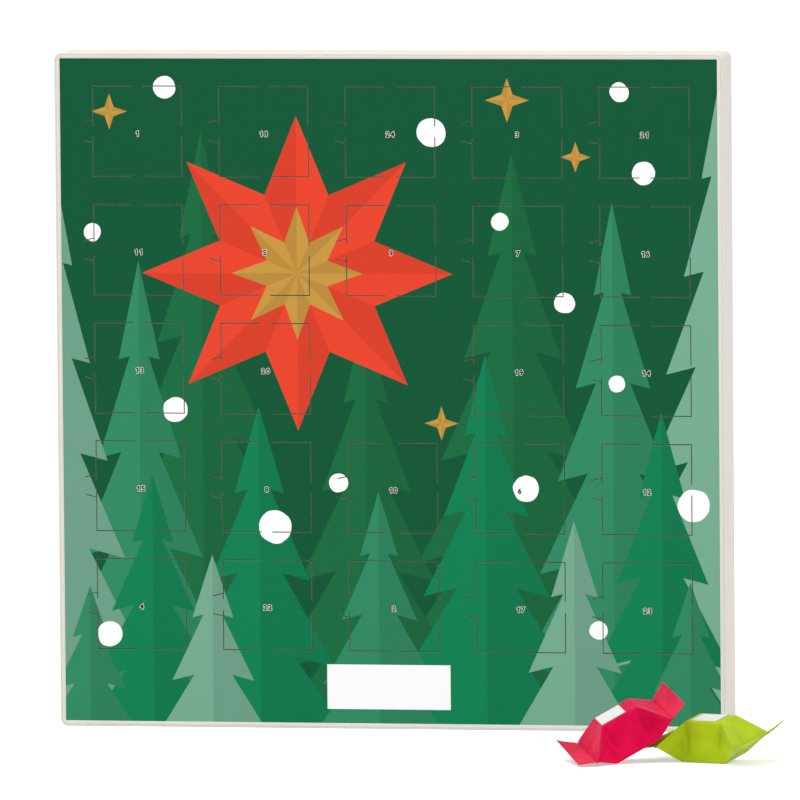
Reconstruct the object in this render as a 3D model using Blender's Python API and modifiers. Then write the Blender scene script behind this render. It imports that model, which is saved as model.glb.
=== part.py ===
"""A chocolate advent calendar: a moulded tray with a printed front card, twenty-four
hinged doors, an interlocking partition of card strips and twenty-four wrapped chocolates.

The calendar stands upright on its lower edge. +X is to the right, -Y is the front and
+Z is up. The origin is in the middle of the lower edge. All lengths are in metres.
"""

import math

import bmesh
import bpy
from mathutils import Matrix, Vector
from mathutils.bvhtree import BVHTree

# Gaps
CLEARANCE = 0.0003  # between pieces that touch
CUT_WIDTH = 0.0003  # the die cut round a door
OVERRUN = 0.0020  # how far a cutter runs past what it cuts
WELD_DISTANCE = 0.00001

# Tray
TRAY_WIDTH = 0.3350
TRAY_HEIGHT = 0.3350
TRAY_DEPTH = 0.0300
TRAY_CORNER_RADIUS = 0.0035
TRAY_EDGE_RADIUS = 0.0008
RIM_WIDTH = 0.0022
LEDGE_WIDTH = 0.0012
CAVITY_CORNER_RADIUS = 0.0020
BACK_WALL = 0.0015

# Front card
CARD_THICKNESS = 0.0006
CARD_RECESS = 0.0004  # how far the card lies behind the rim
CARD_CORNER_RADIUS = 0.0010

# Doors, in columns from the left and rows from the top. They share the card's width and
# height that the margins and gaps leave.
LEFT_MARGIN = 0.0169  # card edge to the first column
RIGHT_MARGIN = 0.0142
TOP_MARGIN = 0.0140
BOTTOM_MARGIN = 0.0363
COLUMN_GAP = 0.0191  # from one column to the next
ROW_GAP = 0.0143
TAB_LENGTH = 0.0054  # the hinge tab, from the door's left edge to the fold
TAB_BASE = 0.0110
TAB_TIP = 0.0085
TAB_NECK = 0.0055
DOOR_NUMBERS = (
    (1, 18, 24, 3, 21),
    (11, 5, 9, 7, 16),
    (13, 20, None, 19, 14),
    (15, 8, 10, 6, 12),
    (4, 22, 2, 17, 23),
)

# Partition strips
STRIP_THICKNESS = 0.0008

# Wrapped chocolate: a block that narrows upwards, between two flat sealed tails that fill
# the compartment's width but for the end room
END_ROOM = 0.0013
BLOCK_LENGTH = 0.0240
BLOCK_DEPTH = 0.0230
BLOCK_HEIGHT = 0.0200
BLOCK_TOP_LENGTH = 0.0196
BLOCK_TOP_DEPTH = 0.0170
SHOULDER_LENGTH = 0.0091  # block to seal
SEAL_HEIGHT = 0.0090
TAIL_WIDTH = 0.0380
TAIL_THICKNESS = 0.0006
TAIL_RISE = 0.0050
PRESSED_TAIL_RISE = -0.0008  # a tail that another chocolate lies on

# The two chocolates that lie in front of the tray: their place, their turn about the
# vertical, the pitch of the length and the roll towards the front
LOOSE_NUMBERS = (1, 2)
LOOSE_RIGHT = 0.1820  # the lying one's place, from the tray's middle
LOOSE_FRONT = -0.1470
LOOSE_STEP = 0.0060  # how much nearer to the front the leaning one is
LEANING_TURN = math.radians(20.0)
LEANING_PITCH = math.radians(-28.0)
LEANING_ROLL = math.radians(10.0)
LYING_TURN = math.radians(-18.0)
LYING_ROLL = math.radians(8.0)

# Finish of each kind of piece: base colour, roughness, metallic
TRAY_FINISH = ((0.77, 0.72, 0.66), 0.55, 0.0)
CARD_FINISH = ((0.009, 0.105, 0.044), 0.45, 0.0)
DOOR_FINISH = ((0.008, 0.145, 0.066), 0.45, 0.0)
STRIP_FINISH = ((0.80, 0.77, 0.71), 0.80, 0.0)
WRAPPER_COLOURS = (
    (0.80, 0.006, 0.06),
    (0.38, 0.58, 0.012),
    (0.80, 0.48, 0.01),
    (0.02, 0.14, 0.48),
    (0.30, 0.09, 0.03),
    (0.01, 0.36, 0.42),
)
WRAPPER_ROUGHNESS = 0.28

CORNER_STEPS = 6
EDGE_STEPS = 2
SEARCH_STEPS = 16
SAMPLES = 24  # along an edge, where a gap is measured
SHARP_ANGLE = math.radians(40.0)
QUARTER_TURN = math.radians(90.0)

# Sizes that follow
FRONT = -TRAY_DEPTH / 2
BACK = TRAY_DEPTH / 2
OPENING_WIDTH = TRAY_WIDTH - 2 * RIM_WIDTH
OPENING_HEIGHT = TRAY_HEIGHT - 2 * RIM_WIDTH
CARD_WIDTH = OPENING_WIDTH - 2 * CLEARANCE
CARD_HEIGHT = OPENING_HEIGHT - 2 * CLEARANCE
CARD_FRONT = FRONT + CARD_RECESS
CARD_BACK = CARD_FRONT + CARD_THICKNESS
LEDGE_FRONT = CARD_BACK + CLEARANCE
CAVITY_WIDTH = OPENING_WIDTH - 2 * LEDGE_WIDTH
CAVITY_HEIGHT = OPENING_HEIGHT - 2 * LEDGE_WIDTH
CAVITY_BACK = BACK - BACK_WALL
STRIP_FRONT = LEDGE_FRONT
STRIP_BACK = CAVITY_BACK - CLEARANCE
MIDDLE_HEIGHT = TRAY_HEIGHT / 2
ROWS = len(DOOR_NUMBERS)
COLUMNS = len(DOOR_NUMBERS[0])
DOORS_WIDTH = CARD_WIDTH - LEFT_MARGIN - RIGHT_MARGIN
DOORS_HEIGHT = CARD_HEIGHT - TOP_MARGIN - BOTTOM_MARGIN
COLUMN_PITCH = (DOORS_WIDTH + COLUMN_GAP) / COLUMNS
ROW_PITCH = (DOORS_HEIGHT + ROW_GAP) / ROWS
DOOR_WIDTH = COLUMN_PITCH - COLUMN_GAP
DOOR_HEIGHT = ROW_PITCH - ROW_GAP
CHOCOLATE_LENGTH = COLUMN_PITCH - STRIP_THICKNESS - 2 * END_ROOM
SEAL_PLACE = BLOCK_LENGTH / 2 + SHOULDER_LENGTH


def door_left(column):
    """X of a door's left edge."""
    return LEFT_MARGIN - CARD_WIDTH / 2 + column * COLUMN_PITCH


def door_middle(row):
    """Z of a door's middle."""
    top = MIDDLE_HEIGHT + CARD_HEIGHT / 2 - TOP_MARGIN - row * ROW_PITCH
    return top - DOOR_HEIGHT / 2


def upright_place(column):
    """X of the strip to the right of a column of doors."""
    return door_left(column) + DOOR_WIDTH + COLUMN_GAP / 2


def shelf_place(row):
    """Z of the strip under a row of doors."""
    return door_middle(row) - (DOOR_HEIGHT + ROW_GAP) / 2


def material(name, colour, roughness, metallic=0.0):
    """A plain material, made once for each name."""
    made = bpy.data.materials.get(name)
    if made is None:
        made = bpy.data.materials.new(name)
        made.use_nodes = True
        shader = made.node_tree.nodes["Principled BSDF"]
        shader.inputs["Base Color"].default_value = (*colour, 1.0)
        shader.inputs["Roughness"].default_value = roughness
        shader.inputs["Metallic"].default_value = metallic
        made.diffuse_color = (*colour, 1.0)
    return made


def place(name, mesh, collection, location=(0, 0, 0), rotation=(0, 0, 0)):
    """An object that shows a mesh in a collection."""
    made = bpy.data.objects.new(name, mesh)
    made.location = location
    made.rotation_euler = rotation
    collection.objects.link(made)
    return made


def rounded_rectangle(width, height, radius, steps=CORNER_STEPS):
    """The points of a rectangle about the origin, with round corners."""
    points = []
    for quarter, (right, up) in enumerate(((1, 1), (-1, 1), (-1, -1), (1, -1))):
        middle_x = right * (width / 2 - radius)
        middle_y = up * (height / 2 - radius)
        for step in range(steps + 1):
            angle = (quarter + step / steps) * QUARTER_TURN
            x = middle_x + radius * math.cos(angle)
            y = middle_y + radius * math.sin(angle)
            points.append((x, y))
    return points


def plate_mesh(name, outlines, thickness):
    """A flat plate about the XY plane. Its first outline is its edge, the others are holes."""
    curve = bpy.data.curves.new(name, "CURVE")
    curve.dimensions = "2D"
    curve.fill_mode = "BOTH"
    curve.extrude = thickness / 2
    for outline in outlines:
        spline = curve.splines.new("POLY")
        spline.points.add(len(outline) - 1)
        for point, (x, y) in zip(spline.points, outline):
            point.co = (x, y, 0.0, 1.0)
        spline.use_cyclic_u = True
    guide = bpy.data.objects.new(name, curve)
    bpy.context.scene.collection.objects.link(guide)
    evaluated = guide.evaluated_get(bpy.context.evaluated_depsgraph_get())
    mesh = bpy.data.meshes.new_from_object(evaluated)
    bpy.data.objects.remove(guide)
    bpy.data.curves.remove(curve)
    shape = bmesh.new()
    shape.from_mesh(mesh)
    bmesh.ops.remove_doubles(shape, verts=shape.verts, dist=WELD_DISTANCE)
    bmesh.ops.recalc_face_normals(shape, faces=shape.faces)
    shape.to_mesh(mesh)
    shape.free()
    mesh.name = name
    return mesh


def tray_cutter(name, width, height, radius, front, back, cutters):
    """A rounded block that hollows the tray between two depths."""
    outline = rounded_rectangle(width, height, radius)
    mesh = plate_mesh(name, [outline], back - front)
    cutter = place(
        name,
        mesh,
        cutters,
        (0.0, (front + back) / 2, MIDDLE_HEIGHT),
        (QUARTER_TURN, 0.0, 0.0),
    )
    cutter.hide_render = True
    cutter.display_type = "WIRE"
    return cutter


def make_tray(parts, cutters):
    """The moulded tray: a rim round the card, a ledge behind it and a deep cavity."""
    outline = rounded_rectangle(TRAY_WIDTH, TRAY_HEIGHT, TRAY_CORNER_RADIUS)
    mesh = plate_mesh("tray", [outline], TRAY_DEPTH)
    mesh.materials.append(material("tray", *TRAY_FINISH))
    tray = place(
        "tray", mesh, parts, (0.0, 0.0, MIDDLE_HEIGHT), (QUARTER_TURN, 0.0, 0.0)
    )
    edges = tray.modifiers.new("edges", "BEVEL")
    edges.limit_method = "ANGLE"
    edges.angle_limit = SHARP_ANGLE
    edges.width = TRAY_EDGE_RADIUS
    edges.segments = EDGE_STEPS
    recess = tray_cutter(
        "card_recess",
        OPENING_WIDTH,
        OPENING_HEIGHT,
        CARD_CORNER_RADIUS + CLEARANCE,
        FRONT - OVERRUN,
        LEDGE_FRONT,
        cutters,
    )
    cavity = tray_cutter(
        "cavity",
        CAVITY_WIDTH,
        CAVITY_HEIGHT,
        CAVITY_CORNER_RADIUS,
        FRONT - OVERRUN,
        CAVITY_BACK,
        cutters,
    )
    for cutter in (recess, cavity):
        cut = tray.modifiers.new(cutter.name, "BOOLEAN")
        cut.operation = "DIFFERENCE"
        cut.solver = "EXACT"
        cut.object = cutter
    return tray


def door_outline():
    """A door and its hinge tab. The fold is at X = 0 and the door's middle at Y = 0."""
    left = TAB_LENGTH
    right = TAB_LENGTH + DOOR_WIDTH
    upper = [
        (right, DOOR_HEIGHT / 2),
        (left, DOOR_HEIGHT / 2),
        (left, TAB_NECK / 2),
        (left - CUT_WIDTH, TAB_NECK / 2),
        (left - CUT_WIDTH, TAB_BASE / 2),
        (CUT_WIDTH, TAB_TIP / 2),
    ]
    return upper + [(x, -y) for x, y in reversed(upper)]


def opening_outline(column, row):
    """The hole that the card has for a door and its tab, in the card's own plane."""
    left = TAB_LENGTH - CUT_WIDTH
    right = TAB_LENGTH + DOOR_WIDTH + CUT_WIDTH
    upper = [
        (right, DOOR_HEIGHT / 2 + CUT_WIDTH),
        (left, DOOR_HEIGHT / 2 + CUT_WIDTH),
        (left, TAB_BASE / 2 + CUT_WIDTH),
        (0.0, TAB_TIP / 2 + CUT_WIDTH),
    ]
    outline = upper + [(x, -y) for x, y in reversed(upper)]
    fold = door_left(column) - TAB_LENGTH
    middle = door_middle(row) - MIDDLE_HEIGHT
    return [(fold + x, middle + y) for x, y in outline]


def make_card(parts):
    """The front card, with a hole for each door."""
    outlines = [rounded_rectangle(CARD_WIDTH, CARD_HEIGHT, CARD_CORNER_RADIUS)]
    for row, numbers in enumerate(DOOR_NUMBERS):
        for column, number in enumerate(numbers):
            if number is not None:
                outlines.append(opening_outline(column, row))
    mesh = plate_mesh("front_card", outlines, CARD_THICKNESS)
    mesh.materials.append(material("front_card", *CARD_FINISH))
    middle = (CARD_FRONT + CARD_BACK) / 2
    return place(
        "front_card", mesh, parts, (0.0, middle, MIDDLE_HEIGHT), (QUARTER_TURN, 0.0, 0.0)
    )


def make_doors(parts):
    """Each door, with its origin on its fold at the card's front face."""
    mesh = plate_mesh("door", [door_outline()], CARD_THICKNESS)
    mesh.transform(Matrix.Rotation(QUARTER_TURN, 4, "X"))
    mesh.transform(Matrix.Translation((0.0, CARD_THICKNESS / 2, 0.0)))
    mesh.materials.append(material("door", *DOOR_FINISH))
    for row, numbers in enumerate(DOOR_NUMBERS):
        for column, number in enumerate(numbers):
            if number is not None:
                fold = door_left(column) - TAB_LENGTH
                location = (fold, CARD_FRONT, door_middle(row))
                place(f"door_{number:02d}", mesh, parts, location)


def comb_outline(start, end, front, back, slots, from_front):
    """A strip's outline: its length along X, its depth along Y, a slot at each crossing."""
    half_slot = STRIP_THICKNESS / 2 + CLEARANCE
    middle = (front + back) / 2
    mouth, plain = (front, back) if from_front else (back, front)
    floor = middle + math.copysign(CLEARANCE / 2, plain - mouth)
    points = [(start, plain), (start, mouth)]
    for slot in slots:
        points += [
            (slot - half_slot, mouth),
            (slot - half_slot, floor),
            (slot + half_slot, floor),
            (slot + half_slot, mouth),
        ]
    return points + [(end, mouth), (end, plain)]


def make_partition(parts):
    """Uprights slotted from the front and shelves slotted from the back, half into each other."""
    finish = material("partition", *STRIP_FINISH)
    upright_places = [upright_place(column) for column in range(COLUMNS - 1)]
    shelf_places = [shelf_place(row) for row in range(ROWS)]
    side = CAVITY_WIDTH / 2 - CLEARANCE
    low = MIDDLE_HEIGHT - CAVITY_HEIGHT / 2 + CLEARANCE
    high = MIDDLE_HEIGHT + CAVITY_HEIGHT / 2 - CLEARANCE
    outline = comb_outline(low, high, STRIP_FRONT, STRIP_BACK, sorted(shelf_places), True)
    upright = plate_mesh("upright", [outline], STRIP_THICKNESS)
    upright.materials.append(finish)
    for index, x in enumerate(upright_places, 1):
        turn = (0.0, -QUARTER_TURN, 0.0)
        place(f"partition_upright_{index}", upright, parts, (x, 0.0, 0.0), turn)
    outline = comb_outline(-side, side, STRIP_FRONT, STRIP_BACK, upright_places, False)
    shelf = plate_mesh("shelf", [outline], STRIP_THICKNESS)
    shelf.materials.append(finish)
    for index, z in enumerate(shelf_places, 1):
        place(f"partition_shelf_{index}", shelf, parts, (0.0, 0.0, z))


def fin_section(x, height):
    """The flat section of the wrapper across a seal or a tail's edge."""
    half_width = TAIL_WIDTH / 2
    half_thickness = TAIL_THICKNESS / 2
    return [
        (x, -half_width, height - half_thickness),
        (x, half_width, height - half_thickness),
        (x, half_width, height + half_thickness),
        (x, -half_width, height + half_thickness),
    ]


def block_section(side):
    """The section of the wrapped block at one of its ends. side is -1 or 1."""
    foot, crown = side * BLOCK_LENGTH / 2, side * BLOCK_TOP_LENGTH / 2
    return [
        (foot, -BLOCK_DEPTH / 2, 0.0),
        (foot, BLOCK_DEPTH / 2, 0.0),
        (crown, BLOCK_TOP_DEPTH / 2, BLOCK_HEIGHT),
        (crown, -BLOCK_TOP_DEPTH / 2, BLOCK_HEIGHT),
    ]


def chocolate_mesh(name, left_rise=TAIL_RISE, right_rise=TAIL_RISE):
    """A wrapped chocolate on its base, its length along X, lofted through its sections."""
    edge = CHOCOLATE_LENGTH / 2
    sections = [
        fin_section(-edge, SEAL_HEIGHT + left_rise),
        fin_section(-SEAL_PLACE, SEAL_HEIGHT),
        block_section(-1),
        block_section(1),
        fin_section(SEAL_PLACE, SEAL_HEIGHT),
        fin_section(edge, SEAL_HEIGHT + right_rise),
    ]
    shape = bmesh.new()
    rings = [[shape.verts.new(point) for point in section] for section in sections]
    for ring, following in zip(rings, rings[1:]):
        for index in range(len(ring)):
            after = (index + 1) % len(ring)
            shape.faces.new((ring[index], ring[after], following[after], following[index]))
    shape.faces.new(rings[0])
    shape.faces.new(rings[-1])
    bmesh.ops.recalc_face_normals(shape, faces=shape.faces)
    mesh = bpy.data.meshes.new(name)
    shape.to_mesh(mesh)
    shape.free()
    return mesh


def wrapper_material(number):
    """The wrapper of a chocolate, one of a few colours."""
    colour = (number - 1) % len(WRAPPER_COLOURS)
    return material(f"wrapper_{colour + 1}", WRAPPER_COLOURS[colour], WRAPPER_ROUGHNESS)


def make_packed_chocolates(parts):
    """The chocolates in the tray, on the shelf under them, with their bases to the back wall."""
    for row, numbers in enumerate(DOOR_NUMBERS):
        for column, number in enumerate(numbers):
            if number is None or number in LOOSE_NUMBERS:
                continue
            name = f"chocolate_{number:02d}"
            mesh = chocolate_mesh(name)
            mesh.materials.append(wrapper_material(number))
            shelf_top = shelf_place(row) + STRIP_THICKNESS / 2
            x = door_left(column) + DOOR_WIDTH / 2
            z = shelf_top + CLEARANCE + TAIL_WIDTH / 2
            location = (x, CAVITY_BACK - CLEARANCE, z)
            place(name, mesh, parts, location, (QUARTER_TURN, 0.0, 0.0))


def lay_down(name, mesh, parts, x, y, turn, pitch, roll):
    """A chocolate that touches the ground with its lowest corner."""
    tilt = (
        Matrix.Rotation(turn, 4, "Z")
        @ Matrix.Rotation(pitch, 4, "Y")
        @ Matrix.Rotation(roll, 4, "X")
    )
    lowest = min((tilt @ vertex.co).z for vertex in mesh.vertices)
    return place(name, mesh, parts, Vector((x, y, -lowest)), tilt.to_euler())


def surface_of(thing):
    """An object's surface as a search tree, and points along all its edges."""
    mesh = thing.data
    corners = [thing.matrix_world @ vertex.co for vertex in mesh.vertices]
    tree = BVHTree.FromPolygons(corners, [tuple(face.vertices) for face in mesh.polygons])
    points = []
    for edge in mesh.edges:
        start, end = (corners[index] for index in edge.vertices)
        points += [start.lerp(end, step / SAMPLES) for step in range(SAMPLES + 1)]
    return tree, points


def gap_between(first, second):
    """The least gap between two objects, or zero where they overlap."""
    bpy.context.view_layer.update()
    (tree, points), (other_tree, other_points) = surface_of(first), surface_of(second)
    if tree.overlap(other_tree):
        return 0.0
    there = min(other_tree.find_nearest(point)[3] for point in points)
    back = min(tree.find_nearest(point)[3] for point in other_points)
    return min(there, back)


def lean_against(moved, still, reach):
    """Slides one object along X towards another until only the clearance is left."""
    near, far = still.location.x, still.location.x - reach
    for _ in range(SEARCH_STEPS):
        moved.location.x = (near + far) / 2
        if gap_between(moved, still) < CLEARANCE:
            near = moved.location.x
        else:
            far = moved.location.x
    moved.location.x = far


def make_loose_chocolates(parts):
    """The two chocolates in front of the tray, one leaning on the other's tail."""
    leaning_number, lying_number = LOOSE_NUMBERS
    name = f"chocolate_{lying_number:02d}"
    mesh = chocolate_mesh(name, left_rise=PRESSED_TAIL_RISE)
    mesh.materials.append(wrapper_material(lying_number))
    lying = lay_down(
        name, mesh, parts, LOOSE_RIGHT, LOOSE_FRONT, LYING_TURN, 0.0, LYING_ROLL
    )
    name = f"chocolate_{leaning_number:02d}"
    mesh = chocolate_mesh(name)
    mesh.materials.append(wrapper_material(leaning_number))
    leaning = lay_down(
        name,
        mesh,
        parts,
        LOOSE_RIGHT - CHOCOLATE_LENGTH,
        LOOSE_FRONT - LOOSE_STEP,
        LEANING_TURN,
        LEANING_PITCH,
        LEANING_ROLL,
    )
    lean_against(leaning, lying, 2 * CHOCOLATE_LENGTH)


def main():
    """Clears the scene and builds the calendar."""
    for old in list(bpy.data.objects):
        bpy.data.objects.remove(old)
    parts = bpy.data.collections.new("chocolate_advent_calendar")
    cutters = bpy.data.collections.new("cutters")
    for collection in (parts, cutters):
        bpy.context.scene.collection.children.link(collection)
    make_tray(parts, cutters)
    make_card(parts)
    make_doors(parts)
    make_partition(parts)
    make_packed_chocolates(parts)
    make_loose_chocolates(parts)


main()
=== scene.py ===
"""The chocolate advent calendar: a moulded tray, a printed front card with numbered die-cut
doors, the card partition behind it and the wrapped chocolates, with a plain stage round it.

All lengths are in metres. +X is to the right, -Y is the front and +Z is up.
"""

import math
import random

import bmesh
import bpy
import numpy as np
from bpy.props import FloatProperty, FloatVectorProperty, IntProperty, PointerProperty
from mathutils import Matrix, Vector


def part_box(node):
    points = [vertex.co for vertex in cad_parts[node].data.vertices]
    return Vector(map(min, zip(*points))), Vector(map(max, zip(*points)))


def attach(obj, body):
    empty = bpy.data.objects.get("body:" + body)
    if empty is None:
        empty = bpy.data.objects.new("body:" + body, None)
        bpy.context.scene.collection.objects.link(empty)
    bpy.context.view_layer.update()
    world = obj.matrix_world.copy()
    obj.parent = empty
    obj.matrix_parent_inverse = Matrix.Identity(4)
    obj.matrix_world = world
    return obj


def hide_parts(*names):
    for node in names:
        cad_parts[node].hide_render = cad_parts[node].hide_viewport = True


bl_info = {
    "name": "Chocolate advent calendar",
    "version": (1, 0, 0),
    "blender": (4, 5, 0),
    "location": "View3D > Sidebar > Calendar",
    "description": "Builds a tray calendar with numbered doors and wrapped chocolates",
    "category": "Add Mesh",
}

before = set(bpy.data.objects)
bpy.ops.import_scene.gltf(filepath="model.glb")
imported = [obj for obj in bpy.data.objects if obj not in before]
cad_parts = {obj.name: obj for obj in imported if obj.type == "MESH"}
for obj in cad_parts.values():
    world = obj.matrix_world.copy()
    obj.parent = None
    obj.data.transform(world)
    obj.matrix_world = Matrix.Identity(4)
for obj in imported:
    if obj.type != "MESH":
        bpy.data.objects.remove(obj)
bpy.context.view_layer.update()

# The doors' numbers and the die cut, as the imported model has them
NUMBERS = range(1, 25)
CUT_WIDTH = 0.0003
TAB_LENGTH = 0.0054
TAB_BASE = 0.0110
TAB_TIP = 0.0085
TAB_NECK = 0.0055

# The wrapped chocolates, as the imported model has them
BLOCK_LENGTH, BLOCK_DEPTH, BLOCK_HEIGHT = 0.0240, 0.0230, 0.0200
BLOCK_TOP_LENGTH, BLOCK_TOP_DEPTH = 0.0196, 0.0170
SEAL_PLACE = 0.0211
SEAL_HEIGHT = 0.0090
HALF_SEAL = 0.0003  # half the thickness of a tail
TAIL_WIDTH = 0.0380
TAIL_RISE = 0.0050
PRESSED_TAIL_RISE = -0.0008
LEANING, LYING = 1, 2  # the two in front
BODIES = {LEANING: "leaning_chocolate", LYING: "lying_chocolate"}
# Turns in degrees, the last turn first
TURNS = {LEANING: ((20.0, "Z"), (-28.0, "Y"), (10.0, "X")), LYING: ((-18.0, "Z"), (8.0, "X"))}
PACKED_TURNS = ((90.0, "X"),)

QUARTER_TURN = math.radians(90.0)
TINY = 1e-6
DIGITS = 6  # of a place that is rounded to a micrometre
SHARP_ANGLE = math.radians(35.0)
SHARP_FILM_ANGLE = math.radians(60.0)
ALONG, ACROSS = 0.9, 0.1  # a face turned along an axis, and one turned away from it

tray_low, tray_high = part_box("tray")
card_low, card_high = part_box("front_card")
card_middle = (card_low + card_high) / 2


def linear(red, green, blue):
    """A colour of 0 to 255 parts as linear values, by the sRGB rule."""
    parts = []
    for part in (red, green, blue):
        part /= 255.0
        parts.append(part / 12.92 if part <= 0.04045 else ((part + 0.055) / 1.055) ** 2.4)
    return tuple(parts)


def length(name, value, description):
    """A length that a user may change."""
    return FloatProperty(
        name=name, default=value, min=0.0, unit="LENGTH", precision=5, description=description
    )


def tint(name, value, description):
    """A colour that a user may change."""
    return FloatVectorProperty(
        name=name, default=linear(*value), min=0.0, max=1.0, subtype="COLOR", size=3,
        description=description,
    )


def shift(name, value, description):
    """A length to either side that a user may change."""
    return FloatProperty(
        name=name, default=value, unit="LENGTH", precision=5, description=description
    )


def angle(name, degrees, description):
    """An angle that a user may change."""
    return FloatProperty(
        name=name, default=math.radians(degrees), subtype="ANGLE", description=description
    )


def power(name, value, description):
    """A lamp's power that a user may change."""
    return FloatProperty(
        name=name, default=value, min=0.0, unit="POWER", description=description
    )


class TrayLook(bpy.types.PropertyGroup):
    """Sizes and colour of the moulded tray."""

    rim_width: length("Rim width", 0.00248, "Width of the rim round the card")
    ledge_width: length("Ledge width", 0.00092, "Width of the ledge behind the card")
    ledge_depth: length("Ledge depth", 0.0013, "From the rim's face back to the ledge")
    back_wall: length("Back wall", 0.0015, "Thickness of the back")
    corner_radius: length("Corner radius", 0.0035, "Radius of the outer corners")
    edge_radius: length("Edge radius", 0.0005, "Rounding of the outer edges")
    lip_radius: length("Lip radius", 0.00035, "Rounding of the rim's inner edge")
    groove_place: length("Groove place", 0.0006, "From the outer side to the rim's groove")
    groove_width: length("Groove width", 0.0004, "Width of the groove in the rim")
    groove_depth: length("Groove depth", 0.0003, "Depth of the groove in the rim")
    colour: tint("Colour", (229, 224, 216), "Colour of the moulded tray")
    speck: tint("Speck", (205, 196, 184), "Colour of the darker fibres")


class CardLook(bpy.types.PropertyGroup):
    """Sizes and colours of the printed card and its doors."""

    corner_radius: length("Corner radius", 0.0010, "Radius of the card's corners")
    nib_length: length("Nib length", 0.0054, "Card left uncut in the middle of a door's side")
    nib_gap: length("Nib gap", 0.00001, "Gap at the end of a nib and at the fold")
    worn_edge: length("Cut edge", 0.00011, "Width of the crushed edge along a die cut")
    number_height: length("Number height", 0.0025, "Height of the printed digits")
    number_halo: length("Number halo", 0.0002, "White outline round the digits")
    number_weight: length("Number weight", 0.00013, "Thickening of the printed digits")
    figure_pitch: length("Figure pitch", 0.0024, "From one figure of a number to the next")
    number_drop: length("Number drop", 0.0012, "How far the number is under a door's middle")
    bare_edge: length("Bare edge", 0.00015, "Unprinted width along the card's outer edge")
    ground: tint("Ground", (15, 86, 54), "Ground of the print")
    deep_green: tint("Deep green", (26, 107, 64), "Farthest firs")
    bright_green: tint("Bright green", (14, 128, 84), "Firs between")
    soft_green: tint("Soft green", (49, 137, 99), "Nearer firs")
    sage: tint("Sage", (119, 171, 147), "Nearest firs")
    red: tint("Red", (232, 69, 45), "Large star")
    ochre: tint("Ochre", (198, 150, 66), "Small stars")
    snow: tint("Snow", (254, 254, 254), "Snow and the blank plate")
    board: tint("Board", (196, 187, 172), "Bare board at the cuts and behind")
    cut: tint("Cut", (112, 129, 107), "Crushed print along a die cut")
    ink: tint("Ink", (10, 9, 9), "Digits")


class PartitionLook(bpy.types.PropertyGroup):
    """Colour of the strips that divide the tray."""

    board: tint("Board", (232, 226, 215), "Face of the strips")
    fibre: tint("Fibre", (209, 200, 186), "Fibres in the strips")


class ChocolateLook(bpy.types.PropertyGroup):
    """Shape of the wrapped chocolates and colours of their film."""

    film_thickness: length("Film", 0.00026, "Thickness of the sealed tails")
    fold_radius: length("Fold radius", 0.0013, "Rounding of the film over the block")
    gusset_depth: length("Gusset depth", 0.0024, "How far the side folds in beside the block")
    rib_pitch: length("Rib pitch", 0.0010, "From one crimped rib to the next")
    rib_height: length("Rib height", 0.00025, "Height of a crimped rib")
    tooth_pitch: length("Tooth pitch", 0.0014, "Pitch of the saw cut at a tail's edge")
    tooth_depth: length("Tooth depth", 0.0003, "Depth of the saw cut at a tail's edge")
    seal_dip: length("Seal dip", 0.0006, "Depth of the pressed line where a tail starts")
    label_length: length("Label length", 0.0138, "Length of the blank label")
    label_depth: length("Label depth", 0.0141, "Depth of the blank label")
    label_border: length("Label border", 0.00035, "Width of the label's gold border")
    ribs_apart: IntProperty(
        name="Faces per rib", default=4, min=2, max=6, description="Faces across a rib in front"
    )
    film_1: tint("Film 1", (227, 4, 75), "Magenta red film")
    film_2: tint("Film 2", (178, 204, 27), "Lime green film")
    film_3: tint("Film 3", (236, 182, 22), "Yellow film")
    film_4: tint("Film 4", (34, 104, 182), "Blue film")
    film_5: tint("Film 5", (146, 84, 46), "Brown film")
    film_6: tint("Film 6", (20, 160, 172), "Turquoise film")
    label: tint("Label", (246, 246, 247), "Blank label")
    gold: tint("Gold", (206, 170, 96), "Label's border")


class StageLook(bpy.types.PropertyGroup):
    """Camera, lamps and floor."""

    yaw: angle("Yaw", 10.26, "Camera's turn to the right")
    rise: angle("Rise", 4.6, "Camera's angle above the horizon")
    roll: angle("Roll", -0.47, "Camera's roll")
    distance: length("Distance", 7.0, "Camera to the calendar's middle")
    focal_length: FloatProperty(
        name="Focal length", default=635.9, min=1.0, description="Camera's lens in millimetres"
    )
    aim_right: shift("Aim right", 0.0026, "How far right of the middle the camera aims")
    aim_up: shift("Aim up", -0.0052, "How far above the middle the camera aims")
    ambient: FloatProperty(
        name="Ambient", default=0.72, min=0.0, description="Strength of the light all round"
    )
    key_power: power("Key power", 38.0, "Large lamp above")
    fill_power: power("Fill power", 7.0, "Lamp at the right")


# Materials


SHADER_INPUTS = {
    "specular_ior_level": "Specular IOR Level", "metallic": "Metallic",
    "sheen_weight": "Sheen Weight", "sheen_roughness": "Sheen Roughness",
    "sheen_tint": "Sheen Tint",
}
USUAL_NOISE = (0.3, 0.7)  # between which most of a noise lies
# Colour sockets of a Mix node, which has others of the same names
MIX_FACTOR, MIX_FIRST, MIX_SECOND, MIX_RESULT = 0, 6, 7, 2
# The finishes of the card and the doors, by their place in a piece's list
PRINT, BOARD, CRUSHED, BLACK, WHITE = range(5)
CARD_FINISHES = ("printed_front", "card_board", "crushed_edge", "black_ink", "white_ink")
# Those of a wrapped chocolate; the last is a paler film, a painted highlight on the tails' rib
# crests
FILM, LABEL, GOLD, RIB_HIGHLIGHT = range(4)
FILM_KINDS = 6


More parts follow.
